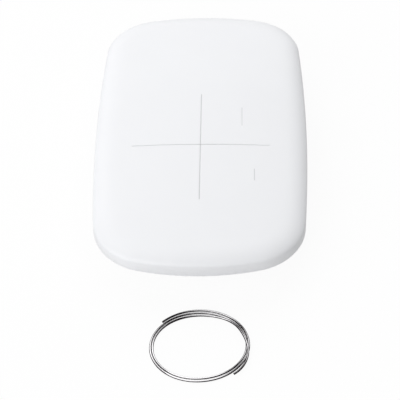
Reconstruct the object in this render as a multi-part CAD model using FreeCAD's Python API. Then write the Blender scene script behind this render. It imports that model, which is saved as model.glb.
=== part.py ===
"""Pocket alarm remote: a domed hand piece with four keys under one soft face.

Frame: X to the right, Y away from the user along the body, Z up through the
face. The remote lies face up. The origin is on the resting plane, below the
middle of the body. Everything is in millimetres.
"""
import FreeCAD, Part
import math
import os

V = FreeCAD.Vector

# Body outline, seen from above: eight tangent arcs
body_width = 37.0
body_length = 64.0
side_arc_radius = 325.0
end_arc_radius = 42.7
corner_radius = 10.2

# Heights of the casing
rear_height = 5.3
reveal_height = 0.3
wall_height = 2.15
rim_fillet = 1.2
crown_across = 0.85
crown_along = 0.85

# Soft face skin
skin_thickness = 0.8
groove_width = 0.22
groove_depth = 0.2
groove_centre_y = -4.9
groove_half_across = 12.0
groove_half_along = 13.2
led_window_radius = 0.9
led_window_depth = 0.5

# Front frame
frame_wall = 1.2
plate_below_rim = 0.25
frame_gap = 0.05
window_width = 10.6
window_length = 11.4
window_corner = 2.0
window_rib = 2.8
frame_boss_radius = 2.0

# Keys
key_gap = 0.2
key_flange = 0.6
key_flange_height = 0.45
key_top_gap = 0.05
key_travel = 0.3

# Key switches
switch_size = 4.5
switch_corner = 0.4
switch_top_gap = 0.05
plunger_radius = 1.0
plunger_clearance = 0.05
plunger_end_gap = 0.05

# Rear cover
rear_reveal_inset = 0.35
rear_slope_inset = 5.2
rear_edge_fillet = 1.2
rear_floor = 1.1
rear_wall = 1.3
rear_boss_radius = 2.6
rib_width = 0.8
rib_clearance = 0.3

# Circuit board
board_thickness = 0.8
board_clearance = 0.4
board_hole_radius = 1.3

# Cover screws
screw_from_side = 9.1
screw_from_end = 8.4
screw_radius = 1.0
screw_head_radius = 1.8
screw_head_height = 1.0
screw_head_sink = 0.3
screw_head_edge = 0.3
screw_tip_edge = 0.3
screw_head_clearance = 0.15
screw_shank_clearance = 0.15
screw_thread_clearance = 0.02
screw_end_gap = 0.2
screw_recess_radius = 0.75
screw_recess_width = 0.4
screw_recess_depth = 0.5

# Battery
cell_radius = 10.0
cell_height = 3.2
cell_from_end = 19.6
cell_gap = 0.05
cell_cap_radius = 8.9
cell_cap_step = 0.3
cell_edge = 0.3
cell_cap_edge = 0.15

# Battery door
door_radius = 11.1
door_recess_clearance = 0.12
door_sink = 0.1
door_flange = 0.45
door_plug_radius = 10.35
door_plug_clearance = 0.1
door_lug_height = 0.45
door_lug_reach = 0.6
door_lug_angle = 24.0
door_lug_count = 3
door_lug_clearance = 0.06
door_notch_angle = 30.0
door_turn = 40.0
door_slot_length = 12.0
door_slot_width = 1.8
door_slot_depth = 0.9

# Battery holder
holder_wall = 0.9
holder_clearance = 0.25
holder_lift = 0.3
holder_gap_width = 5.0

# Contacts
strip_thickness = 0.2
strip_width = 3.2
side_contact_depth = 2.4
spring_reach = 6.5
spring_base = 3.5

# Parts on the board
part_gap = 0.8
part_edge = 0.12
radio_chip_size = 4.0
radio_chip_height = 0.8
control_chip_size = 5.0
control_chip_height = 0.9
crystal_length = 3.2
crystal_width = 2.5
crystal_height = 0.7
led_radius = 0.75
led_height = 1.1
led_lens_edge = 0.3
led_from_end = 7.5
antenna_width = 0.8
antenna_height = 0.5
antenna_boss_gap = 0.9
antenna_from_edge = 4.6
antenna_gap = 5.0
antenna_corner = 2.0

# Ring bar in the far end of the rear cover
notch_width = 7.0
notch_from_end = 6.8
notch_height = 4.0
notch_corner = 1.2
notch_wall = 1.0
bar_radius = 0.7
bar_seat = 0.8
bar_z = 2.4
bar_from_end = 5.0
bar_clearance = 0.02

# Key ring of thin wire, lying in front of the remote
ring_start_radius = 7.9
ring_wire_radius = 0.17
ring_turns = 2.53
ring_turn_gap = 0.02
ring_centre_x = 0.13
ring_centre_gap = 10.14
ring_start_angle = 140.0
ring_oval = 0.3
ring_oval_growth = 0.095
ring_tilt = 8.5
ring_spring = 1.74
ring_spring_angle = 71.0
ring_lift_gap = 0.04
ring_lift_angle = 55.0
ring_span_angle = 40.0

front_z = rear_height + reveal_height
rim_z = front_z + wall_height
top_z = rim_z + rim_fillet + crown_across
frame_plate_z = rim_z - plate_below_rim
screw_x = body_width / 2 - screw_from_side
screw_y = body_length / 2 - screw_from_end
cell_y = body_length / 2 - cell_from_end
led_y = led_from_end - body_length / 2
ring_centre_y = -body_length / 2 - ring_centre_gap
ring_shrink = 2 * ring_wire_radius + ring_oval_growth + ring_turn_gap
ring_lift = 2 * ring_wire_radius + ring_lift_gap
skin_inside = skin_thickness + frame_gap
board_inset = skin_inside + frame_wall + board_clearance
board_bottom = rear_height
board_top = board_bottom + board_thickness
key_bottom = frame_plate_z - key_flange_height
screw_head_top = screw_head_sink + screw_head_height
screw_tip = frame_plate_z
keys_far_y = groove_centre_y + window_rib / 2 + window_length + key_flange
parts_near_y = keys_far_y + part_gap
antenna_half = screw_x - frame_boss_radius - antenna_boss_gap
part_x = antenna_half - radio_chip_size / 2
crystal_y = parts_near_y + crystal_width / 2
control_chip_y = parts_near_y + control_chip_size / 2
radio_chip_y = parts_near_y + crystal_width + part_gap + radio_chip_size / 2
antenna_near_y = radio_chip_y + radio_chip_size / 2 + part_gap
antenna_far_y = body_length / 2 - board_inset - antenna_from_edge
door_seat_z = door_sink + door_flange + door_lug_clearance
lug_low = rear_floor + door_lug_clearance
lug_high = lug_low + door_lug_height
cell_low = lug_high + cell_gap


def arc_centre(inset):
    """Centre and end directions of one corner arc of the inset outline."""
    side = V(body_width / 2 - side_arc_radius, 0, 0)
    end = V(0, body_length / 2 - end_arc_radius, 0)
    span = end.sub(side)
    reach_side = side_arc_radius - corner_radius
    reach_end = end_arc_radius - corner_radius
    along = (span.Length ** 2 + reach_side ** 2 - reach_end ** 2) / (2 * span.Length)
    off = math.sqrt(reach_side ** 2 - along ** 2)
    unit = span.normalize()
    centre = side.add(unit * along).add(V(-unit.y, unit.x, 0) * off)
    radius = corner_radius - inset
    to_side = centre.sub(side).normalize() * radius
    to_end = centre.sub(end).normalize() * radius
    return centre, to_side, to_end, radius


def outline(inset, z):
    """Closed wire of eight tangent arcs, the body outline moved in by inset."""
    centre, to_side, to_end, radius = arc_centre(inset)
    middle = to_side.add(to_end).normalize() * radius
    corner = [centre.add(to_side), centre.add(middle), centre.add(to_end)]
    half_x = body_width / 2 - inset
    half_y = body_length / 2 - inset
    corners = []
    for sx, sy in ((1, 1), (-1, 1), (-1, -1), (1, -1)):
        turned = [V(sx * p.x, sy * p.y, z) for p in corner]
        corners.append(turned if sx == sy else turned[::-1])
    ends = [V(0, half_y, z), V(-half_x, 0, z), V(0, -half_y, z), V(half_x, 0, z)]
    edges = []
    for k, turned in enumerate(corners):
        edges.append(Part.Arc(*turned))
        edges.append(Part.Arc(turned[2], ends[k], corners[(k + 1) % 4][0]))
    return Part.Wire([edge.toShape() for edge in edges])


def prism(inset, low, high):
    """Straight block with the inset outline between two heights."""
    face = Part.Face(outline(inset, low))
    return face.extrude(V(0, 0, high - low))


def dome(lowered):
    """Everything below the domed face, moved down by the given amount."""
    across = (body_width / 2) ** 2 / (2 * crown_across)
    along = (body_length / 2) ** 2 / (2 * crown_along)
    ring = along - across
    peak = top_z - lowered
    torus = Part.makeTorus(ring, across, V(0, 0, peak - along), V(1, 0, 0))
    return torus


def tapered(inset_low, low, inset_high, high):
    """Block whose sides slope between two outlines."""
    lower = outline(inset_low, low)
    upper = outline(inset_high, high)
    return Part.makeLoft([lower, upper], True, True)


def box(width, length, low, high, x=0.0, y=0.0):
    """Upright box centred on x, y."""
    corner = V(x - width / 2, y - length / 2, low)
    return Part.makeBox(width, length, high - low, corner)


def rod(radius, low, high, x=0.0, y=0.0):
    """Upright cylinder."""
    return Part.makeCylinder(radius, high - low, V(x, y, low))


def rounded(width, length, radius, low, high, x=0.0, y=0.0):
    """Upright box with rounded vertical corners."""
    block = box(width, length, low, high, x, y)
    upright = [edge for edge in block.Edges if is_upright(edge)]
    return block.makeFillet(radius, upright)


def is_upright(edge):
    """True for a straight edge that runs along Z."""
    ends = edge.BoundBox
    return ends.XLength < 1e-6 and ends.YLength < 1e-6


def lies_at(edge, z):
    """True for an edge that lies flat at one height."""
    ends = edge.BoundBox
    return abs(ends.ZMin - z) < 1e-4 and abs(ends.ZMax - z) < 1e-4


def edges_at(shape, z):
    """Edges that lie flat at one height."""
    return [edge for edge in shape.Edges if lies_at(edge, z)]


def key_places():
    """Name, x and y of each key's centre, one in each quarter of the cross."""
    dx = (window_width + window_rib) / 2
    dy = (window_length + window_rib) / 2
    return [
        ("arm", -dx, groove_centre_y + dy),
        ("disarm", dx, groove_centre_y + dy),
        ("night", -dx, groove_centre_y - dy),
        ("panic", dx, groove_centre_y - dy),
    ]


def screw_places():
    """The four screw axes."""
    return [(sx * screw_x, sy * screw_y) for sx in (-1, 1) for sy in (-1, 1)]


def front_outer():
    """Outer form of the front: wall, domed face and the rounded rim between."""
    block = prism(0.0, front_z, top_z + 1).common(dome(0.0))
    rim = [e for e in block.Edges if e.BoundBox.ZMin > front_z + 0.1 and not is_upright(e)]
    return block.makeFillet(rim_fillet, rim)


def make_skin():
    """Soft skin over the face and the wall, with the cross groove between keys."""
    skin = front_outer()
    hollow = prism(skin_thickness, front_z - 1, top_z).common(dome(skin_thickness))
    skin = skin.cut(hollow)
    floor = dome(groove_depth)
    across = box(2 * groove_half_across, groove_width, front_z, top_z + 1, 0, groove_centre_y)
    along = box(groove_width, 2 * groove_half_along, front_z, top_z + 1, 0, groove_centre_y)
    skin = skin.cut(across.fuse(along).cut(floor))
    pocket = rod(led_window_radius, front_z, top_z, 0, led_y)
    return skin.cut(pocket.common(dome(skin_thickness - led_window_depth)))


def make_frame():
    """Stiff frame inside the skin, with a window for each key and four bosses."""
    frame = prism(skin_inside, rear_height, top_z).common(dome(skin_inside))
    frame = frame.cut(prism(skin_inside + frame_wall, rear_height - 1, frame_plate_z))
    for x, y in screw_places():
        frame = frame.fuse(rod(frame_boss_radius, board_top, frame_plate_z + 0.1, x, y))
        bore = screw_radius + screw_thread_clearance
        frame = frame.cut(rod(bore, board_top - 1, screw_tip + screw_end_gap, x, y))
    for name, x, y in key_places():
        window = rounded(window_width, window_length, window_corner, rear_height, top_z, x, y)
        frame = frame.cut(window)
    frame = frame.cut(rod(led_window_radius, rear_height, top_z, 0, led_y))
    return frame.removeSplitter()


def make_key(x, y):
    """Key: a domed pad in the frame's window over a wider flange."""
    width = window_width - 2 * key_gap
    length = window_length - 2 * key_gap
    pad = rounded(width, length, window_corner - key_gap, key_bottom, top_z, x, y)
    pad = pad.common(dome(skin_thickness + key_top_gap))
    grown = 2 * (key_gap + key_flange)
    flange = rounded(width + grown, length + grown, window_corner, key_bottom, frame_plate_z, x, y)
    return pad.fuse(flange).removeSplitter()


def make_switch(x, y):
    """Low key switch base with the bore its plunger runs in."""
    high = key_bottom - key_travel - switch_top_gap
    base = rounded(switch_size, switch_size, switch_corner, board_top, high, x, y)
    bore = rod(plunger_radius + plunger_clearance, board_top - 1, top_z, x, y)
    return base.cut(bore)


def make_plunger(x, y):
    """Plunger that the key pushes down towards the board."""
    return rod(plunger_radius, board_top + key_travel + plunger_end_gap, key_bottom, x, y)


def make_board():
    """Circuit board, with a hole for each screw."""
    board = prism(board_inset, board_bottom, board_top)
    for x, y in screw_places():
        board = board.cut(rod(board_hole_radius, board_bottom - 1, board_top + 1, x, y))
    return board


def sector(radius, low, high, start, sweep):
    """Slice of a cylinder about the door's axis."""
    wedge = Part.makeCylinder(radius, high - low, V(0, 0, low), V(0, 0, 1), sweep)
    wedge.rotate(V(0, 0, 0), V(0, 0, 1), start)
    wedge.translate(V(0, cell_y, 0))
    return wedge


def lug_starts(width):
    """Start angle of each lug or notch, centred on the lug directions."""
    step = 360.0 / door_lug_count
    return [90 + k * step - width / 2 for k in range(door_lug_count)]


def make_door():
    """Round battery door with a coin slot and bayonet lugs."""
    door = rod(door_radius, door_sink, door_sink + door_flange, 0, cell_y)
    door = door.fuse(rod(door_plug_radius, door_sink, lug_high, 0, cell_y))
    for start in lug_starts(door_lug_angle):
        reach = door_plug_radius + door_lug_reach
        door = door.fuse(sector(reach, lug_low, lug_high, start, door_lug_angle))
    end = door_slot_width / 2 - 0.01
    deep = door_sink + door_slot_depth
    slot = rounded(door_slot_length, door_slot_width, end, -1, deep, 0, cell_y)
    return door.cut(slot).removeSplitter()


def make_rear():
    """Rear cover: a shallow pan with sloping sides, door seat, bosses and ring notch."""
    slope = (rear_slope_inset - rear_reveal_inset) / rear_height
    inner_top = rear_reveal_inset + rear_wall
    inner_low = inner_top + slope * (rear_height - rear_floor)
    outer = rear_outer()
    hollow = tapered(inner_low, rear_floor, inner_top - slope, rear_height + 1)
    pan = outer.cut(hollow)
    pan = pan.fuse(board_ribs().common(outer))
    for x, y in screw_places():
        pan = pan.fuse(rod(rear_boss_radius, rear_floor - 0.2, rear_height, x, y))
    pan = pan.fuse(notch_block(notch_wall, rear_floor / 2, notch_height + notch_wall).common(outer))
    pan = pan.cut(notch_block(0.0, -1, notch_height))
    for x, y in screw_places():
        pan = pan.cut(rod(screw_head_radius + screw_head_clearance, -1, screw_head_top, x, y))
        pan = pan.cut(rod(screw_radius + screw_shank_clearance, -1, rear_height + 1, x, y))
    return cut_door_seat(pan).cut(bar_shape(bar_clearance)).removeSplitter()


def rear_outer():
    """Outer form of the rear cover: sloping sides and a rounded lower edge."""
    outer = tapered(rear_slope_inset, 0.0, rear_reveal_inset, rear_height)
    return outer.makeFillet(rear_edge_fillet, edges_at(outer, 0.0))


def board_ribs():
    """Ribs that carry the board: one under each column of keys, one across the near keys."""
    low = rear_floor / 2
    key_x = (window_width + window_rib) / 2
    key_y = groove_centre_y - (window_length + window_rib) / 2
    length = body_length / 2 + cell_y
    ribs = box(body_width, rib_width, low, board_bottom, 0, key_y)
    for x in (-key_x, key_x):
        ribs = ribs.fuse(box(rib_width, length, low, board_bottom, x, cell_y - length / 2))
    around = cell_radius + holder_clearance + holder_wall + rib_clearance
    return ribs.cut(rod(around, low - 1, board_bottom + 1, 0, cell_y))


def notch_block(wall, low, high):
    """Rounded block from the notch's inner end out past the end of the body."""
    length = 2 * notch_from_end
    middle = body_length / 2 - notch_from_end + length / 2 - wall
    return rounded(notch_width + 2 * wall, length, notch_corner, low, high, 0, middle)


def cut_door_seat(pan):
    """Cut the stepped seat of the battery door, with an entry for each lug."""
    pan = pan.cut(rod(door_radius + door_recess_clearance, -1, door_seat_z, 0, cell_y))
    pan = pan.cut(rod(door_plug_radius + door_plug_clearance, -1, rear_floor + 0.5, 0, cell_y))
    for start in lug_starts(door_notch_angle):
        reach = door_plug_radius + door_lug_reach + door_recess_clearance
        pan = pan.cut(sector(reach, -1, rear_floor + 0.5, start - door_turn, door_notch_angle))
    return pan


def bar_shape(grow):
    """Round bar across the notch, its ends set in the notch's cheeks."""
    half = notch_width / 2 + bar_seat + grow
    start = V(-half, body_length / 2 - bar_from_end, bar_z)
    return Part.makeCylinder(bar_radius + grow, 2 * half, start, V(1, 0, 0))


def make_screws():
    """Four pan-head screws, driven up from the rear."""
    screws = []
    for x, y in screw_places():
        head = rod(screw_head_radius, screw_head_sink, screw_head_top, x, y)
        head = head.makeChamfer(screw_head_edge, edges_at(head, screw_head_sink))
        shank = rod(screw_radius, screw_head_top - 0.1, screw_tip, x, y)
        shank = shank.makeChamfer(screw_tip_edge, edges_at(shank, screw_tip))
        long = 2 * screw_recess_radius
        deep = screw_head_sink + screw_recess_depth
        recess = box(long, screw_recess_width, -1, deep, x, y)
        recess = recess.fuse(box(screw_recess_width, long, -1, deep, x, y))
        screws.append(head.fuse(shank).cut(recess).removeSplitter())
    return Part.makeCompound(screws)


def make_cell():
    """Coin cell, its smaller cap facing the board."""
    low = cell_low
    can = rod(cell_radius, low, low + cell_height - cell_cap_step, 0, cell_y)
    can = can.makeChamfer(cell_edge, edges_at(can, low))
    cap = rod(cell_cap_radius, low, low + cell_height, 0, cell_y)
    cap = cap.makeChamfer(cell_cap_edge, edges_at(cap, low + cell_height))
    return can.fuse(cap.cut(rod(cell_radius, -1, low + 1, 0, cell_y))).removeSplitter()


def make_holder():
    """Ring under the board that keeps the cell in place, open beside the clip."""
    inner = cell_radius + holder_clearance
    low = lug_high + holder_lift
    ring = rod(inner + holder_wall, low, board_bottom, 0, cell_y)
    ring = ring.cut(rod(inner, low - 1, board_bottom + 1, 0, cell_y))
    middle = cell_y - inner - holder_wall / 2
    gap = box(holder_gap_width, 4 * holder_wall, low - 1, board_bottom + 1, 0, middle)
    return ring.cut(gap)


def make_clip():
    """Positive contact: a foot under the board and a leg beside the cell."""
    beside = cell_y - cell_radius - cell_gap
    top = board_bottom
    foot = box(strip_width, spring_base, top - strip_thickness, top, 0, beside - spring_base / 2)
    deep = top - side_contact_depth
    leg = box(strip_width, strip_thickness, deep, top, 0, beside - strip_thickness / 2)
    return foot.fuse(leg).removeSplitter()


def make_spring():
    """Negative contact: a bent leaf between the board and the cell's cap."""
    top = board_bottom
    low = cell_low + cell_height + strip_thickness
    profile = [
        V(-spring_base, 0, top),
        V(0, 0, top),
        V(spring_reach, 0, low),
        V(spring_reach, 0, low - strip_thickness),
        V(0, 0, top - strip_thickness),
        V(-spring_base, 0, top - strip_thickness),
    ]
    wire = Part.makePolygon(profile + [profile[0]])
    leaf = Part.Face(wire).extrude(V(0, strip_width, 0))
    leaf.translate(V(0, cell_y - strip_width / 2, 0))
    return leaf


def make_antenna():
    """Stamped strip aerial between the far screw bosses, beyond the radio chip."""
    low = board_top
    high = low + antenna_height
    span = 2 * antenna_half
    depth = antenna_far_y - antenna_near_y
    y = (antenna_near_y + antenna_far_y) / 2
    outer = rounded(span, depth, antenna_corner, low, high, 0, y)
    span -= 2 * antenna_width
    inner_corner = antenna_corner - antenna_width
    inner = rounded(span, depth - 2 * antenna_width, inner_corner, low - 1, high + 1, 0, y)
    gap = box(antenna_gap, depth, low - 1, high + 1, 0, antenna_near_y)
    return outer.cut(inner).cut(gap)


def chip(size, length, height, x, y):
    """Small sealed package on the board's upper face."""
    block = box(size, length, board_top, board_top + height, x, y)
    return block.makeChamfer(part_edge, edges_at(block, board_top + height))


def make_led():
    """Status light with a rounded lens."""
    body = rod(led_radius, board_top, board_top + led_height, 0, led_y)
    return body.makeFillet(led_lens_edge, edges_at(body, board_top + led_height))


def eased(value):
    """Smooth step from 0 to 1."""
    value = min(max(value, 0.0), 1.0)
    return value * value * (3 - 2 * value)


def ring_point(angle):
    """Point on the wire's centre line, at an angle turned clockwise from its first end."""
    spring_start = ring_turns * 360.0 - ring_spring_angle
    lift_start = spring_start - ring_lift_angle
    direction = math.radians(ring_start_angle - angle)
    oval = ring_oval + ring_oval_growth * angle / 360.0
    radius = ring_start_radius - ring_shrink * angle / 360.0
    radius += oval * math.cos(2 * (direction - math.radians(ring_tilt)))
    radius += ring_spring * eased((angle - spring_start) / ring_spring_angle)
    x = ring_centre_x + radius * math.cos(direction)
    y = ring_centre_y + radius * math.sin(direction)
    z = ring_wire_radius + ring_lift * eased((angle - lift_start) / ring_lift_angle)
    return V(x, y, z)


def ring_heading(angle):
    """Unit direction in which the wire runs, at an angle turned from its first end."""
    step = 0.01
    return (ring_point(angle + step) - ring_point(angle - step)).normalize()


def tangent_arc(start, knee, end):
    """Arc from start to end that touches the two lines meeting at the knee."""
    middle = (start + end) * 0.5
    rise = knee - middle
    bend = math.asin(rise.Length / (knee - start).Length)
    sagitta = (end - start).Length / 2 * math.tan(bend / 2)
    return Part.Arc(start, middle + rise * (sagitta / rise.Length), end).toShape()


def two_arcs(first, last):
    """Tangent arcs that follow the wire between two angles turned from its first end."""
    start = ring_point(first)
    end = ring_point(last)
    heading = ring_heading(first)
    last_heading = ring_heading(last)
    chord = end - start
    along = chord.dot(heading + last_heading)
    spread = 2 * (1 - heading.dot(last_heading))
    leg = (math.sqrt(along ** 2 + spread * chord.dot(chord)) - along) / spread
    knee = start + heading * leg
    last_knee = end - last_heading * leg
    joint = (knee + last_knee) * 0.5
    return [tangent_arc(start, knee, joint), tangent_arc(joint, last_knee, end)]


def make_ring():
    """Thin wire key ring: a flat oval spiral whose last end springs out over the rest."""
    total = ring_turns * 360.0
    count = math.ceil(total / ring_span_angle)
    arcs = []
    for k in range(count):
        arcs += two_arcs(total * k / count, total * (k + 1) / count)
    section = Part.Wire(Part.makeCircle(ring_wire_radius, ring_point(0.0), ring_heading(0.0)))
    return Part.Wire(arcs).makePipeShell([section], True, True)


def export(name, shape):
    if not shape.isValid():
        print("invalid", name)
    shape.exportStep("parts/" + name + ".step")
    print(name, len(shape.Solids), round(shape.Volume, 2))


def main():
    os.makedirs("parts", exist_ok=True)
    export("front_skin", make_skin())
    export("front_frame", make_frame())
    for name, x, y in key_places():
        export("key_" + name, make_key(x, y))
        export("plunger_" + name, make_plunger(x, y))
        export("switch_" + name, make_switch(x, y))
    export("circuit_board", make_board())
    size = control_chip_size
    export("control_chip", chip(size, size, control_chip_height, part_x, control_chip_y))
    size = radio_chip_size
    export("radio_chip", chip(size, size, radio_chip_height, -part_x, radio_chip_y))
    export("crystal", chip(crystal_length, crystal_width, crystal_height, -part_x, crystal_y))
    export("status_led", make_led())
    export("antenna", make_antenna())
    export("coin_cell", make_cell())
    export("battery_holder", make_holder())
    export("positive_clip", make_clip())
    export("negative_spring", make_spring())
    export("battery_door", make_door())
    export("rear_cover", make_rear())
    export("cover_screws", make_screws())
    export("ring_bar", bar_shape(0.0))
    export("key_ring", make_ring())


main()
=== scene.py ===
"""Looks of a pocket alarm remote: soft face, wire key ring, inner parts and studio."""
import math

import bmesh
import bpy
from bpy.props import FloatProperty, FloatVectorProperty, IntProperty, PointerProperty
from bpy.types import Operator, Panel, PropertyGroup
from mathutils import Matrix, Vector


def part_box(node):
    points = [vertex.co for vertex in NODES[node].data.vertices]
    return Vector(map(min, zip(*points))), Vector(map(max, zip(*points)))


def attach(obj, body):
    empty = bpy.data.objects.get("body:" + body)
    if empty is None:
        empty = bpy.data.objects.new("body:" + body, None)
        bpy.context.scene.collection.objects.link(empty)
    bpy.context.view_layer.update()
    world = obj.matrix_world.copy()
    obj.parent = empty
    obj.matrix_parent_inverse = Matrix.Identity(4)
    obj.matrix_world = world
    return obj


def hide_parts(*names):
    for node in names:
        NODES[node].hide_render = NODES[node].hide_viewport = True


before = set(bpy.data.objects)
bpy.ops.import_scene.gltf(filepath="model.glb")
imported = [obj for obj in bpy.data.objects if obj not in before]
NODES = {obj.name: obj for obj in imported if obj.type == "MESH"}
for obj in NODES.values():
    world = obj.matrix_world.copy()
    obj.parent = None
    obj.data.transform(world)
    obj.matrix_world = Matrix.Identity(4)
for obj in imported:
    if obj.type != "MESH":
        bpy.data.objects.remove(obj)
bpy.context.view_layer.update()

bl_info = {
    "name": "Pocket Alarm Remote",
    "version": (1, 0, 0),
    "blender": (4, 5, 0),
    "location": "3D View > Sidebar > Remote",
    "description": "Builds the soft face, key ring, finishes and studio of a pocket alarm remote",
    "category": "Add Mesh",
}

SKIN_LOW, SKIN_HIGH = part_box("front_skin")

# Mesh of the soft face, in metres
SECTION_REACH = 0.0085
INNER_CORNER = 0.0006
RIM_STEPS = 16
FLAT_STEPS = 6
ARC_STEPS = (18, 28, 18)
GRID_SPACING = 0.0012
GRID_ACROSS = 15
GRID_ALONG = 26
MERGE_DISTANCE = 0.000002
CUT_TOLERANCE = 0.0000002
LINE_END_GAP = 0.00001
TOP_BAND = 0.0001

# Share of the line colour at each line's bottom: painted shade in the cross groove, printed tone in the short
# marks
UPRIGHT_PAINTED_SHADE = 0.75
LEVEL_PAINTED_SHADE = 0.35
UPPER_MARK_SHADE = 0.55
LOWER_MARK_SHADE = 0.7

# Grey values between which a noise is spread, and how far it shifts a finish
NOISE_LOW = 0.3
NOISE_HIGH = 0.7
BROAD_NOISE = 90.0
MOULDED_GLOSS_SHIFT = 0.04
METAL_DARK_SHARE = 0.86
METAL_GLOSS_BELOW = 0.05
METAL_GLOSS_ABOVE = 0.06
METAL_LEAST_ROUGHNESS = 0.02
METAL_RELIEF = 0.000002

# Painted dark reflection on the ring's wire against its direction in degrees, from the right and turning left
PAINTED_REFLECTION_ROUND_RING = (
    (0, 0.51), (31, 0.65), (44, 0.48), (53, 0.02), (75, 0.0), (100, 0.43), (130, 0.90), (142, 0.62),
    (168, 0.54), (188, 0.43), (212, 0.52), (226, 0.50), (233, 0.05), (262, 0.0), (290, 0.35), (313, 0.64),
    (326, 0.69), (342, 0.58), (360, 0.51))
# How far the painted dark reflection round the ring spreads from the flanks over the wire's top
PAINTED_REFLECTION_REACH = 0.5
# Heights of the wire's normal below which the flanks carry a painted dark reflection, and above which the
# wire shows bright steel
FLANK_REFLECTION_DARK_BELOW = 0.64
FLANK_REFLECTION_BRIGHT_ABOVE = 0.76

KEYS = ("arm", "disarm", "night", "panic")

# Moulded finishes: colour, roughness, grain size, relief, colour shift and nodes
MOULDED_FINISHES = {
    "inner_frame_grey": ((0.55, 0.55, 0.56), 0.55, 0.0003, 0.000008, 0.015, ("front_frame",)),
    "key_pad_white": (
        (0.72, 0.72, 0.73), 0.5, 0.0003, 0.000006, 0.015, tuple("key_" + key for key in KEYS)),
    "plunger_red_brown": (
        (0.30, 0.07, 0.04), 0.4, 0.0002, 0.000003, 0.015, tuple("plunger_" + key for key in KEYS)),
    "black_plastic": (
        (0.03, 0.03, 0.032), 0.45, 0.0002, 0.000004, 0.01,
        ("battery_holder", *("switch_" + key for key in KEYS))),
    "chip_package": (
        (0.025, 0.025, 0.028), 0.6, 0.00015, 0.000005, 0.008, ("radio_chip", "control_chip")),
    "board_green": ((0.02, 0.16, 0.07), 0.3, 0.0004, 0.000004, 0.01, ("circuit_board",)),
    "light_lens": ((0.85, 0.87, 0.88), 0.15, 0.0005, 0.000001, 0.015, ("status_led",)),
}

# Metal finishes: colour, roughness, stretch of the marks and nodes
METAL_FINISHES = {
    "crystal_can": ((0.68, 0.68, 0.68), 0.3, (1, 1, 1), ("crystal",)),
    "cell_steel": ((0.70, 0.70, 0.71), 0.28, (1, 30, 1), ("coin_cell",)),
    "contact_bronze": (
        (0.72, 0.55, 0.30), 0.28, (30, 1, 1), ("antenna", "positive_clip", "negative_spring")),
    "screw_steel": ((0.55, 0.55, 0.57), 0.3, (1, 1, 1), ("cover_screws",)),
    "bar_steel": ((0.62, 0.62, 0.64), 0.25, (1, 20, 20), ("ring_bar",)),
}

# Studio
LAMP_SIZE = 0.6
LAMP_PLACES = {
    "high_lamp": (-0.25, -0.25, 0.35),
    "low_lamp": (-0.35, -0.35, 0.14),
    "front_lamp": (0.0, -0.50, 0.16),
    "back_lamp": (-0.05, 0.33, 0.35),
}
FLOOR_HALF_SIZE = 3.0
FLOOR_DROP = 0.00002
FLOOR_BOUNCE = 0.6
FLOOR_GLOW_SHARE = 0.93

# Camera: angles, metres, pixels per metre in the middle of the picture, pixels of shift
CAMERA_HEIGHT_ANGLE = math.radians(45.0)
CAMERA_TURN = math.radians(2.21)
CAMERA_ROLL = math.radians(-1.83)
CAMERA_DISTANCE = 0.289
CAMERA_SCALE = 5654.0
CAMERA_SHIFT = (1.47, -57.44)
CAMERA_LEVEL = 0.0056
PICTURE_WIDTH = 400.0
SENSOR_WIDTH = 36.0


class BodyShape(PropertyGroup):
    """Sizes of the soft face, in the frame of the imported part."""

    side_radius: FloatProperty(
        name="Side radius", description="Radius of the long side arcs", default=0.325, unit="LENGTH")
    end_radius: FloatProperty(
        name="End radius", description="Radius of the arc at the near end", default=0.0427, unit="LENGTH")
    corner_radius: FloatProperty(
        name="Corner radius", description="Radius of the two near corners", default=0.0102, unit="LENGTH")
    far_end_radius: FloatProperty(
        name="Far end radius", description="Radius of the flatter arc at the far end",
        default=0.052, unit="LENGTH")
    far_corner_radius: FloatProperty(
        name="Far corner radius", description="Radius of the two far corners", default=0.0098, unit="LENGTH")
    rim_across: FloatProperty(
        name="Rim width", description="How far the rounded rim reaches into the face", default=0.0036,
        unit="LENGTH")
    rim_height: FloatProperty(
        name="Rim height", description="How far the rounded rim reaches down the wall", default=0.0012,
        unit="LENGTH")
    crown: FloatProperty(
        name="Crown", description="Rise of the face over its edge", default=0.00085, unit="LENGTH")
    far_flatness: FloatProperty(
        name="Far flatness", description="Share of the crown's fall to the sides that is gone at the far end",
        default=0.7)
    thickness: FloatProperty(
        name="Skin thickness", description="Thickness of the soft skin", default=0.0008, unit="LENGTH")
    lip: FloatProperty(
        name="Lip radius", description="Rounding of the lower lip", default=0.00012, unit="LENGTH")
    groove_width: FloatProperty(
        name="Groove width", description="Width of the cross groove", default=0.00022, unit="LENGTH")
    groove_depth: FloatProperty(
        name="Groove depth", description="Depth of the cross groove", default=0.00018, unit="LENGTH")
    groove_edge: FloatProperty(
        name="Groove edge", description="Width of the edge beside a line", default=0.00002, unit="LENGTH")
    groove_y: FloatProperty(
        name="Cross centre", description="Place of the cross along the body", default=-0.0049, unit="LENGTH")
    groove_across: FloatProperty(
        name="Cross half width", description="Half length of the level groove", default=0.012, unit="LENGTH")
    groove_along: FloatProperty(
        name="Cross half length", description="Half length of the upright groove",
        default=0.0132, unit="LENGTH")
    upper_mark: FloatVectorProperty(
        name="Upper mark", description="Place across and both ends of the short mark on the upper right key",
        size=3, subtype="XYZ", unit="LENGTH", default=(0.00719, -0.00005, 0.00475))
    lower_mark: FloatVectorProperty(
        name="Lower mark", description="Place across and both ends of the short mark on the lower right key",
        size=3, subtype="XYZ", unit="LENGTH", default=(0.00928, -0.0136, -0.0107))
    mark_width: FloatProperty(
        name="Mark width", description="Width of the short marks", default=0.00024, unit="LENGTH")
    mark_depth: FloatProperty(
        name="Mark depth", description="Depth of the short marks", default=0.00004, unit="LENGTH")


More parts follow.
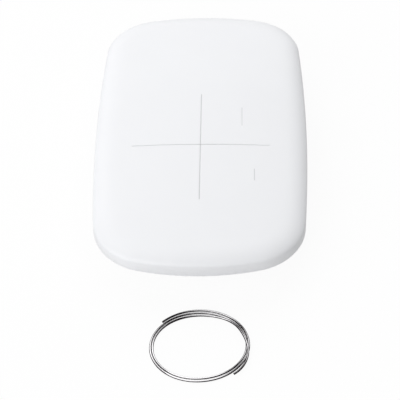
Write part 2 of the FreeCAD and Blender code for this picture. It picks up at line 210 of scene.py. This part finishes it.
class RingShape(PropertyGroup):
    """Sizes of the wire key ring."""

    wire_radius: FloatProperty(
        name="Wire radius", description="Half the wire's thickness", default=0.00017, unit="LENGTH")
    radius: FloatProperty(
        name="Start radius", description="Radius of the wire's centre at its first end", default=0.0079,
        unit="LENGTH")
    centre: FloatVectorProperty(
        name="Centre", description="Middle of the ring on the table", size=2, subtype="TRANSLATION",
        default=(0.00013, -0.04214))
    start_angle: FloatProperty(
        name="First end", description="Direction of the wire's first end", subtype="ANGLE",
        default=math.radians(140.0))
    turns: FloatProperty(name="Turns", description="Turns of wire in the ring", default=2.52)
    shrink: FloatProperty(
        name="Shrink", description="Loss of radius in each turn", default=0.000455, unit="LENGTH")
    oval: FloatProperty(
        name="Oval", description="How far the first turn is out of round", default=0.0003, unit="LENGTH")
    oval_growth: FloatProperty(
        name="Oval growth", description="Change of the oval in each turn", default=0.000095, unit="LENGTH")
    tilt: FloatProperty(
        name="Oval direction", description="Direction of the oval's long axis", subtype="ANGLE",
        default=math.radians(8.5))
    spring: FloatProperty(
        name="Spring", description="How far the last end springs out", default=0.00174, unit="LENGTH")
    spring_angle: FloatProperty(
        name="Spring angle", description="Stretch of wire that springs out", subtype="ANGLE",
        default=math.radians(71.0))
    lift: FloatProperty(
        name="Lift", description="Rise of the last end over the turns it crosses", default=0.00038,
        unit="LENGTH")
    lift_angle: FloatProperty(
        name="Lift angle", description="Stretch of wire that rises", subtype="ANGLE",
        default=math.radians(55.0))
    points_per_turn: IntProperty(name="Points per turn", description="Smoothness of the wire", default=96)


class Finish(PropertyGroup):
    """Colours of the main finishes and strengths of the lights."""

    face: FloatVectorProperty(
        name="Face", description="Colour of the soft face", subtype="COLOR", default=(0.888, 0.896, 0.918))
    # Line colour: painted shade at the bottom of the cross groove, printed tone in the short marks
    line: FloatVectorProperty(
        name="Line", description="Colour at the bottom of the face's lines", subtype="COLOR",
        default=(0.50, 0.50, 0.515))
    casing: FloatVectorProperty(
        name="Casing", description="Colour of the hard casing", subtype="COLOR", default=(0.80, 0.80, 0.81))
    steel: FloatVectorProperty(
        name="Steel", description="Colour of bright steel", subtype="COLOR", default=(0.64, 0.63, 0.64))
    # Colour of the painted dark reflection on the wire's flanks
    painted_flank_reflection: FloatVectorProperty(
        name="Wire flank", description="Colour of the wire's darkened flanks", subtype="COLOR",
        default=(0.024, 0.020, 0.022))
    room: FloatProperty(name="Room light", description="Strength of the light from all round", default=0.30)
    high_lamp: FloatProperty(
        name="High lamp", description="Power of the lamp high at the front left", default=0.32)
    low_lamp: FloatProperty(
        name="Low lamp", description="Power of the low lamp at the front left", default=1.68)
    front_lamp: FloatProperty(name="Front lamp", description="Power of the low lamp in front", default=0.70)
    back_lamp: FloatProperty(name="Back lamp", description="Power of the lamp behind", default=1.74)


def new_material(name):
    """Empty node material with its shader and output."""
    material = bpy.data.materials.new(name)
    material.use_nodes = True
    nodes = material.node_tree.nodes
    nodes.clear()
    output = nodes.new("ShaderNodeOutputMaterial")
    shader = nodes.new("ShaderNodeBsdfPrincipled")
    material.node_tree.links.new(shader.outputs["BSDF"], output.inputs["Surface"])
    return material, material.node_tree, shader


def grain(tree, scale, detail, stretch=(1.0, 1.0, 1.0)):
    """Noise on the piece's own object coordinates."""
    place = tree.nodes.new("ShaderNodeTexCoord")
    mapping = tree.nodes.new("ShaderNodeMapping")
    mapping.inputs["Scale"].default_value = stretch
    noise = tree.nodes.new("ShaderNodeTexNoise")
    noise.inputs["Scale"].default_value = scale
    noise.inputs["Detail"].default_value = detail
    tree.links.new(place.outputs["Object"], mapping.inputs["Vector"])
    tree.links.new(mapping.outputs["Vector"], noise.inputs["Vector"])
    return noise


def ramp(tree, source, low, high):
    """Spread a grey value between two colours."""
    mix = tree.nodes.new("ShaderNodeValToRGB")
    mix.color_ramp.elements[0].position = NOISE_LOW
    mix.color_ramp.elements[1].position = NOISE_HIGH
    mix.color_ramp.elements[0].color = (*low, 1.0)
    mix.color_ramp.elements[1].color = (*high, 1.0)
    tree.links.new(source, mix.inputs["Fac"])
    return mix


def spread(tree, source, low, high):
    """Spread a grey value between two numbers."""
    span = tree.nodes.new("ShaderNodeMapRange")
    span.inputs["From Min"].default_value = NOISE_LOW
    span.inputs["From Max"].default_value = NOISE_HIGH
    span.inputs["To Min"].default_value = low
    span.inputs["To Max"].default_value = high
    tree.links.new(source, span.inputs["Value"])
    return span


def bump(tree, shader, source, distance):
    """Relief on the shader's normal."""
    relief = tree.nodes.new("ShaderNodeBump")
    relief.inputs["Distance"].default_value = distance
    relief.inputs["Strength"].default_value = 1.0
    tree.links.new(source, relief.inputs["Height"])
    tree.links.new(relief.outputs["Normal"], shader.inputs["Normal"])


def moulded(name, colour, roughness, grain_size, relief, shift):
    """Moulded plastic: fine spark-eroded grain, faint colour and gloss variation."""
    material, tree, shader = new_material(name)
    fine = grain(tree, 1.0 / grain_size, 2.0)
    broad = grain(tree, BROAD_NOISE, 3.0)
    dark = tuple(max(c - shift, 0.0) for c in colour)
    tint = ramp(tree, broad.outputs["Fac"], dark, colour)
    tree.links.new(tint.outputs["Color"], shader.inputs["Base Color"])
    dull, shiny = roughness + MOULDED_GLOSS_SHIFT, roughness - MOULDED_GLOSS_SHIFT
    gloss = spread(tree, fine.outputs["Fac"], shiny, dull)
    tree.links.new(gloss.outputs["Result"], shader.inputs["Roughness"])
    bump(tree, shader, fine.outputs["Fac"], relief)
    return material


def bright_metal(name, colour, roughness, stretch, grain_size=0.0002):
    """Plated or drawn metal with fine marks."""
    material, tree, shader = new_material(name)
    shader.inputs["Metallic"].default_value = 1.0
    marks = grain(tree, 1.0 / grain_size, 3.0, stretch)
    dark = tuple(c * METAL_DARK_SHARE for c in colour)
    tint = ramp(tree, marks.outputs["Fac"], dark, colour)
    tree.links.new(tint.outputs["Color"], shader.inputs["Base Color"])
    shiny = max(roughness - METAL_GLOSS_BELOW, METAL_LEAST_ROUGHNESS)
    gloss = spread(tree, marks.outputs["Fac"], shiny, roughness + METAL_GLOSS_ABOVE)
    tree.links.new(gloss.outputs["Result"], shader.inputs["Roughness"])
    bump(tree, shader, marks.outputs["Fac"], METAL_RELIEF)
    return material


def principled(material):
    """Node tree and shader of a finish, to add to them."""
    tree = material.node_tree
    return tree, next(node for node in tree.nodes if node.type == "BSDF_PRINCIPLED")


def dress(nodes, material):
    """Give carried-over nodes one finish."""
    for node in nodes:
        slots = NODES[node].data.materials
        slots.clear()
        slots.append(material)


def outline_arcs(shape, end_radius, corner_radius):
    """Centres and turning angles of the three arcs of one quarter outline."""
    half_x = SKIN_HIGH.x
    half_y = SKIN_HIGH.y
    side = Vector((half_x - shape.side_radius, 0.0))
    end = Vector((0.0, half_y - end_radius))
    span = end - side
    reach_side = shape.side_radius - corner_radius
    reach_end = end_radius - corner_radius
    along = (span.length_squared + reach_side ** 2 - reach_end ** 2) / (2 * span.length)
    off = math.sqrt(reach_side ** 2 - along ** 2)
    unit = span.normalized()
    corner = side + unit * along + Vector((-unit.y, unit.x)) * off
    to_side = corner - side
    to_end = corner - end
    first = math.atan2(to_side.y, to_side.x)
    last = math.atan2(to_end.y, to_end.x)
    turns = (first, last - first, math.pi / 2 - last)
    return list(zip((side, corner, end), turns, ARC_STEPS))


def face_profile(shape):
    """Section of the skin at the middle of the long side: inset and height."""
    low = SKIN_LOW.z
    high = SKIN_HIGH.z
    thick = shape.thickness
    across = shape.rim_across
    down = shape.rim_height
    lip = shape.lip
    inner = high - thick
    points = [(SECTION_REACH, inner), (thick + INNER_CORNER, inner)]
    points += [(thick, inner - INNER_CORNER), (thick, low)]
    points += [(lip, low), (lip * 0.3, low + lip * 0.3), (0.0, low + lip)]
    for k in range(RIM_STEPS + 1):
        turn = math.pi / 2 * k / RIM_STEPS
        points.append((across * (1 - math.cos(turn)), high - down + down * math.sin(turn)))
    for k in range(1, FLAT_STEPS + 1):
        points.append((across + (SECTION_REACH - across) * k / FLAT_STEPS, high))
    return points


def face_drop(shape, x, y):
    """How far the crowned face lies below its top."""
    flat = shape.far_flatness * (max(y, 0.0) / SKIN_HIGH.y) ** 2
    across = shape.crown * (x / SKIN_HIGH.x) ** 2 * (1.0 - flat)
    along = shape.crown * (y / SKIN_HIGH.y) ** 2
    return across + along


def spin_outline(mesh, shape, profile):
    """Carry a section round the near and the far quarter of the outline and mirror both."""
    near = (-1, shape.end_radius, shape.corner_radius)
    far = (1, shape.far_end_radius, shape.far_corner_radius)
    for way, end_radius, corner_radius in (near, far):
        verts = [mesh.verts.new((SKIN_HIGH.x - inset, 0.0, z)) for inset, z in profile]
        edges = [mesh.edges.new(pair) for pair in zip(verts, verts[1:])]
        last = verts + edges
        for centre, angle, steps in outline_arcs(shape, end_radius, corner_radius):
            middle = (centre.x, centre.y * way, 0.0)
            made = bmesh.ops.spin(
                mesh, geom=last, cent=middle, axis=(0, 0, 1), angle=angle * way, steps=steps)
            last = made["geom_last"]
    everything = mesh.verts[:] + mesh.edges[:] + mesh.faces[:]
    bmesh.ops.mirror(
        mesh, geom=everything, matrix=Matrix.Identity(4), merge_dist=MERGE_DISTANCE, axis="X")
    bmesh.ops.remove_doubles(mesh, verts=mesh.verts[:], dist=MERGE_DISTANCE)


def cut_lines(mesh, places, normal):
    """Cut every face of a mesh along parallel upright planes."""
    for place in places:
        everything = mesh.verts[:] + mesh.edges[:] + mesh.faces[:]
        spot = [component * place for component in normal]
        bmesh.ops.bisect_plane(
            mesh, geom=everything, dist=CUT_TOLERANCE, plane_co=spot, plane_no=normal)


def face_lines(shape):
    """Lines in the face: across or along, place, both ends, half width, depth and darkness at the bottom,
    which is painted shade in the cross groove and printed tone in the short marks.
    """
    half = shape.groove_width / 2
    level_ends = (-shape.groove_across, shape.groove_across)
    upright_ends = (shape.groove_y - shape.groove_along, shape.groove_y + shape.groove_along)
    thin = shape.mark_width / 2
    return (
        ("along", 0.0, *upright_ends, half, shape.groove_depth, UPRIGHT_PAINTED_SHADE),
        ("across", shape.groove_y, *level_ends, half, shape.groove_depth, LEVEL_PAINTED_SHADE),
        ("along", *shape.upper_mark, thin, shape.mark_depth, UPPER_MARK_SHADE),
        ("along", *shape.lower_mark, thin, shape.mark_depth, LOWER_MARK_SHADE),
    )


def press_lines(mesh, shape):
    """Press every line of the face in, and store its darkness in the mesh's own attribute: painted shade in
    the cross groove, printed tone in the short marks.
    """
    shade = mesh.verts.layers.float.new("painted_shade_and_print")
    for way, place, low, high, half, depth, dark in face_lines(shape):
        for vert in mesh.verts:
            x, y, z = vert.co
            off, run = (y - place, x) if way == "across" else (x - place, y)
            on_line = abs(off) < half * 0.5 and low + LINE_END_GAP < run < high - LINE_END_GAP
            if on_line and z > SKIN_HIGH.z - TOP_BAND and vert[shade] == 0.0:
                vert.co.z -= depth
                vert[shade] = dark


def finish_mesh(mesh, name, material):
    """Turn a bmesh into an object of the scene."""
    data = bpy.data.meshes.new(name)
    mesh.to_mesh(data)
    mesh.free()
    obj = bpy.data.objects.new(name, data)
    bpy.context.scene.collection.objects.link(obj)
    data.materials.append(material)
    return obj


class REMOTE_OT_soft_face(Operator):
    """Build the crowned soft skin with its cross groove and short marks"""

    bl_idname = "remote.soft_face"
    bl_label = "Soft face"

    def execute(self, context):
        shape = context.scene.remote_body
        mesh = bmesh.new()
        spin_outline(mesh, shape, face_profile(shape))
        rims = [e for e in mesh.edges if e.is_boundary]
        bmesh.ops.holes_fill(mesh, edges=rims, sides=0)
        for way, place, low, high, half, *_ in face_lines(shape):
            bank = half + shape.groove_edge
            offs = [place + off for off in (-bank, -half, 0.0, half, bank)]
            side, run = ((0, 1, 0), (1, 0, 0)) if way == "across" else ((1, 0, 0), (0, 1, 0))
            cut_lines(mesh, offs, side)
            cut_lines(mesh, [low, low + half, high - half, high], run)
        cut_lines(mesh, [k * GRID_SPACING for k in range(-GRID_ACROSS, GRID_ACROSS + 1)], (1, 0, 0))
        cut_lines(mesh, [k * GRID_SPACING for k in range(-GRID_ALONG, GRID_ALONG + 1)], (0, 1, 0))
        press_lines(mesh, shape)
        for vert in mesh.verts:
            if vert.co.z > SKIN_LOW.z + shape.lip * 1.5:
                vert.co.z -= face_drop(shape, vert.co.x, vert.co.y)
        bmesh.ops.recalc_face_normals(mesh, faces=mesh.faces[:])
        for face in mesh.faces:
            face.smooth = True
        material = face_material(context.scene.remote_finish)
        obj = finish_mesh(mesh, "soft_face", material)
        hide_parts("front_skin")
        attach(obj, "housing")
        return {"FINISHED"}


def face_material(finish):
    """Soft-touch white: satin, very fine grain, darkened at the bottom of its lines with painted shade in the
    cross groove and printed tone in the short marks.
    """
    material = moulded("soft_touch_white", tuple(finish.face), 0.42, 0.00022, 0.000005, 0.01)
    tree, shader = principled(material)
    shader.inputs["Specular IOR Level"].default_value = 0.45
    shader.inputs["Sheen Weight"].default_value = 0.04
    # Painted shade at the bottom of the cross groove and printed tone in the short marks, read from the
    # mesh's own attribute
    shade = tree.nodes.new("ShaderNodeAttribute")
    shade.attribute_name = "painted_shade_and_print"
    tone = tree.nodes.new("ShaderNodeMix")
    tone.data_type = "RGBA"
    tone.inputs["B"].default_value = (*finish.line, 1.0)
    plain = shader.inputs["Base Color"].links[0].from_socket
    tree.links.new(shade.outputs["Fac"], tone.inputs["Factor"])
    tree.links.new(plain, tone.inputs["A"])
    tree.links.new(tone.outputs["Result"], shader.inputs["Base Color"])
    return material


def sums(tree, operation, first, second):
    """Arithmetic node on two sockets or numbers."""
    node = tree.nodes.new("ShaderNodeMath")
    node.operation = operation
    for socket, value in zip(node.inputs, (first, second)):
        if isinstance(value, float):
            socket.default_value = value
        else:
            tree.links.new(value, socket)
    return node.outputs[0]


def painted_dark_reflection(tree, centre):
    """How dark the wire is painted in each direction round the ring: a painted dark reflection."""
    place = tree.nodes.new("ShaderNodeTexCoord")
    middle = tree.nodes.new("ShaderNodeMapping")
    middle.inputs["Location"].default_value = (-centre[0], -centre[1], 0.0)
    split = tree.nodes.new("ShaderNodeSeparateXYZ")
    tree.links.new(place.outputs["Object"], middle.inputs["Vector"])
    tree.links.new(middle.outputs["Vector"], split.inputs["Vector"])
    direction = sums(tree, "ARCTAN2", split.outputs["Y"], split.outputs["X"])
    share = sums(tree, "FRACT", sums(tree, "DIVIDE", direction, 2 * math.pi), 0.0)
    curve = tree.nodes.new("ShaderNodeValToRGB")
    stops = curve.color_ramp.elements
    while len(stops) < len(PAINTED_REFLECTION_ROUND_RING):
        stops.new(0.5)
    for stop, (degrees, dark) in zip(stops, PAINTED_REFLECTION_ROUND_RING):
        stop.position = degrees / 360.0
        stop.color = (dark, dark, dark, 1.0)
    tree.links.new(share, curve.inputs["Fac"])
    return curve.outputs["Color"]


def ring_steel(finish, centre):
    """Hard-drawn steel wire: a bright top and a painted dark reflection on the flanks, which spreads over the
    top in the stretches round the ring where the painted reflection is dark.
    """
    material = bright_metal("ring_steel_bright", tuple(finish.steel), 0.14, (1, 1, 1), 0.0006)
    tree, shader = principled(material)
    # Painted dark reflection: the flanks, picked by the wire's normal, and the stretches round the ring are
    # darkened
    geometry = tree.nodes.new("ShaderNodeNewGeometry")
    split = tree.nodes.new("ShaderNodeSeparateXYZ")
    tree.links.new(geometry.outputs["Normal"], split.inputs["Vector"])
    darkened = sums(tree, "MULTIPLY", painted_dark_reflection(tree, centre), PAINTED_REFLECTION_REACH)
    height = sums(tree, "SUBTRACT", sums(tree, "ABSOLUTE", split.outputs["Z"], 0.0), darkened)
    painted_flank_reflection = ramp(tree, height, tuple(finish.painted_flank_reflection), tuple(finish.steel))
    painted_flank_reflection.color_ramp.elements[0].position = FLANK_REFLECTION_DARK_BELOW
    painted_flank_reflection.color_ramp.elements[1].position = FLANK_REFLECTION_BRIGHT_ABOVE
    tree.links.new(painted_flank_reflection.outputs["Color"], shader.inputs["Base Color"])
    shader.inputs["Specular Tint"].default_value = (0.25, 0.25, 0.25, 1.0)
    return material


def eased(value):
    """Smooth step from 0 to 1."""
    value = min(max(value, 0.0), 1.0)
    return value * value * (3.0 - 2.0 * value)


def ring_line(shape):
    """Centre line of the ring's wire: a flat oval spiral whose last end springs out."""
    total = shape.turns * 2 * math.pi
    spring_start = total - shape.spring_angle
    lift_start = spring_start - shape.lift_angle
    count = round(shape.turns * shape.points_per_turn)
    points = []
    for k in range(count + 1):
        turned = total * k / count
        turns = turned / (2 * math.pi)
        direction = shape.start_angle - turned
        oval = (shape.oval + shape.oval_growth * turns) * math.cos(2 * (direction - shape.tilt))
        out = shape.spring * eased((turned - spring_start) / shape.spring_angle)
        radius = shape.radius - shape.shrink * turns + oval + out
        x = shape.centre[0] + radius * math.cos(direction)
        y = shape.centre[1] + radius * math.sin(direction)
        z = shape.wire_radius + shape.lift * eased((turned - lift_start) / shape.lift_angle)
        points.append((x, y, z))
    return points


class REMOTE_OT_wire_ring(Operator):
    """Build the thin wire key ring"""

    bl_idname = "remote.wire_ring"
    bl_label = "Wire key ring"

    def execute(self, context):
        shape = context.scene.remote_ring
        data = bpy.data.curves.new("wire_ring", "CURVE")
        data.dimensions = "3D"
        data.bevel_depth = shape.wire_radius
        data.bevel_resolution = 4
        data.use_fill_caps = True
        line = ring_line(shape)
        spline = data.splines.new("POLY")
        spline.points.add(len(line) - 1)
        for point, place in zip(spline.points, line):
            point.co = (*place, 1.0)
        spline.use_smooth = True
        obj = bpy.data.objects.new("wire_ring", data)
        context.scene.collection.objects.link(obj)
        data.materials.append(ring_steel(context.scene.remote_finish, shape.centre))
        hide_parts("key_ring")
        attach(obj, "housing")
        return {"FINISHED"}


class REMOTE_OT_finishes(Operator):
    """Give every carried-over piece its finish"""

    bl_idname = "remote.finishes"
    bl_label = "Finishes"

    def execute(self, context):
        finish = context.scene.remote_finish
        casing = moulded("casing_white", tuple(finish.casing), 0.5, 0.0003, 0.000008, 0.015)
        dress(("rear_cover", "battery_door"), casing)
        for name, (*look, nodes) in MOULDED_FINISHES.items():
            dress(nodes, moulded(name, *look))
        for name, (*look, nodes) in METAL_FINISHES.items():
            dress(nodes, bright_metal(name, *look))
        return {"FINISHED"}


def soft_lamp(name, place, power):
    """Large square lamp aimed at the middle of the body."""
    data = bpy.data.lights.new(name, "AREA")
    data.shape = "SQUARE"
    data.size = LAMP_SIZE
    data.energy = power
    obj = bpy.data.objects.new(name, data)
    obj.location = place
    obj.rotation_euler = (-Vector(place)).to_track_quat("-Z", "Y").to_euler()
    bpy.context.scene.collection.objects.link(obj)


def seen_directly(tree):
    """1 for rays that come from the camera, a mirror or glass."""
    path = tree.nodes.new("ShaderNodeLightPath")
    either = sums(tree, "MAXIMUM", path.outputs["Is Camera Ray"], path.outputs["Is Glossy Ray"])
    return sums(tree, "MAXIMUM", either, path.outputs["Is Transmission Ray"])


def make_world(strength):
    """Pale room light, white where it is seen."""
    world = bpy.data.worlds.new("studio")
    world.use_nodes = True
    tree = world.node_tree
    tree.nodes.clear()
    output = tree.nodes.new("ShaderNodeOutputWorld")
    mix = tree.nodes.new("ShaderNodeMixShader")
    room = tree.nodes.new("ShaderNodeBackground")
    room.inputs["Color"].default_value = (1.0, 1.0, 1.0, 1.0)
    room.inputs["Strength"].default_value = strength
    white = tree.nodes.new("ShaderNodeBackground")
    white.inputs["Color"].default_value = (1.0, 1.0, 1.0, 1.0)
    white.inputs["Strength"].default_value = 1.0
    tree.links.new(seen_directly(tree), mix.inputs["Fac"])
    tree.links.new(room.outputs[0], mix.inputs[1])
    tree.links.new(white.outputs[0], mix.inputs[2])
    tree.links.new(mix.outputs[0], output.inputs["Surface"])
    bpy.context.scene.world = world


def floor_material():
    """White floor that keeps a soft trace of the object's shadow."""
    material = bpy.data.materials.new("white_floor")
    material.use_nodes = True
    tree = material.node_tree
    tree.nodes.clear()
    output = tree.nodes.new("ShaderNodeOutputMaterial")
    bounce = tree.nodes.new("ShaderNodeBsdfDiffuse")
    bounce.inputs["Color"].default_value = (FLOOR_BOUNCE, FLOOR_BOUNCE, FLOOR_BOUNCE, 1.0)
    paper = tree.nodes.new("ShaderNodeBsdfDiffuse")
    paper.inputs["Color"].default_value = (1.0, 1.0, 1.0, 1.0)
    glow = tree.nodes.new("ShaderNodeEmission")
    glow.inputs["Color"].default_value = (1.0, 1.0, 1.0, 1.0)
    glow.inputs["Strength"].default_value = 1.0
    shown = tree.nodes.new("ShaderNodeMixShader")
    shown.inputs["Fac"].default_value = FLOOR_GLOW_SHARE
    tree.links.new(paper.outputs[0], shown.inputs[1])
    tree.links.new(glow.outputs[0], shown.inputs[2])
    mix = tree.nodes.new("ShaderNodeMixShader")
    tree.links.new(seen_directly(tree), mix.inputs["Fac"])
    tree.links.new(bounce.outputs[0], mix.inputs[1])
    tree.links.new(shown.outputs[0], mix.inputs[2])
    tree.links.new(mix.outputs[0], output.inputs["Surface"])
    return material


def place_camera():
    """Set the camera where the photograph was taken from."""
    e, turn, roll = CAMERA_HEIGHT_ANGLE, CAMERA_TURN, CAMERA_ROLL
    back = Vector((math.sin(turn) * math.cos(e), -math.cos(turn) * math.cos(e), math.sin(e)))
    right = Vector((math.cos(turn), math.sin(turn), 0.0))
    up = back.cross(right)
    across = right * math.cos(roll) + up * math.sin(roll)
    upward = up * math.cos(roll) - right * math.sin(roll)
    offset = (across * CAMERA_SHIFT[0] - upward * CAMERA_SHIFT[1]) / CAMERA_SCALE
    data = bpy.data.cameras.new("camera")
    data.sensor_width = SENSOR_WIDTH
    data.lens = SENSOR_WIDTH * CAMERA_SCALE * CAMERA_DISTANCE / PICTURE_WIDTH
    data.clip_start = 0.01
    data.clip_end = 10.0
    camera = bpy.data.objects.new("camera", data)
    turned = Matrix((across, upward, back)).transposed()
    place = back * CAMERA_DISTANCE - offset + Vector((0, 0, CAMERA_LEVEL))
    camera.matrix_world = Matrix.Translation(place) @ turned.to_4x4()
    bpy.context.scene.collection.objects.link(camera)
    bpy.context.scene.camera = camera


class REMOTE_OT_stage(Operator):
    """Set the floor, the lamps and the camera"""

    bl_idname = "remote.stage"
    bl_label = "Stage"

    def execute(self, context):
        finish = context.scene.remote_finish
        context.scene.view_settings.view_transform = "Standard"
        mesh = bmesh.new()
        below = Matrix.Translation((0.0, 0.0, -FLOOR_DROP))
        bmesh.ops.create_grid(mesh, x_segments=1, y_segments=1, size=FLOOR_HALF_SIZE, matrix=below)
        floor = finish_mesh(mesh, "floor", floor_material())
        make_world(finish.room)
        soft_lamp("high_lamp", LAMP_PLACES["high_lamp"], finish.high_lamp)
        soft_lamp("low_lamp", LAMP_PLACES["low_lamp"], finish.low_lamp)
        soft_lamp("front_lamp", LAMP_PLACES["front_lamp"], finish.front_lamp)
        soft_lamp("back_lamp", LAMP_PLACES["back_lamp"], finish.back_lamp)
        place_camera()
        return {"FINISHED"}


class REMOTE_PT_panel(Panel):
    """Sidebar panel of the remote"""

    bl_idname = "REMOTE_PT_panel"
    bl_label = "Pocket remote"
    bl_space_type = "VIEW_3D"
    bl_region_type = "UI"
    bl_category = "Remote"

    def draw(self, context):
        for group in (context.scene.remote_body, context.scene.remote_ring, context.scene.remote_finish):
            box = self.layout.box()
            for name in group.__annotations__:
                box.prop(group, name)
        for step in STEPS:
            self.layout.operator("remote." + step)


STEPS = ("finishes", "soft_face", "wire_ring", "stage")

CLASSES = (
    BodyShape,
    RingShape,
    Finish,
    REMOTE_OT_finishes,
    REMOTE_OT_soft_face,
    REMOTE_OT_wire_ring,
    REMOTE_OT_stage,
    REMOTE_PT_panel,
)


def register():
    for cls in CLASSES:
        bpy.utils.register_class(cls)
    bpy.types.Scene.remote_body = PointerProperty(type=BodyShape)
    bpy.types.Scene.remote_ring = PointerProperty(type=RingShape)
    bpy.types.Scene.remote_finish = PointerProperty(type=Finish)


def unregister():
    del bpy.types.Scene.remote_finish
    del bpy.types.Scene.remote_ring
    del bpy.types.Scene.remote_body
    for cls in reversed(CLASSES):
        bpy.utils.unregister_class(cls)


def main():
    register()
    for step in STEPS:
        getattr(bpy.ops.remote, step)()


if __name__ == "__main__":
    main()
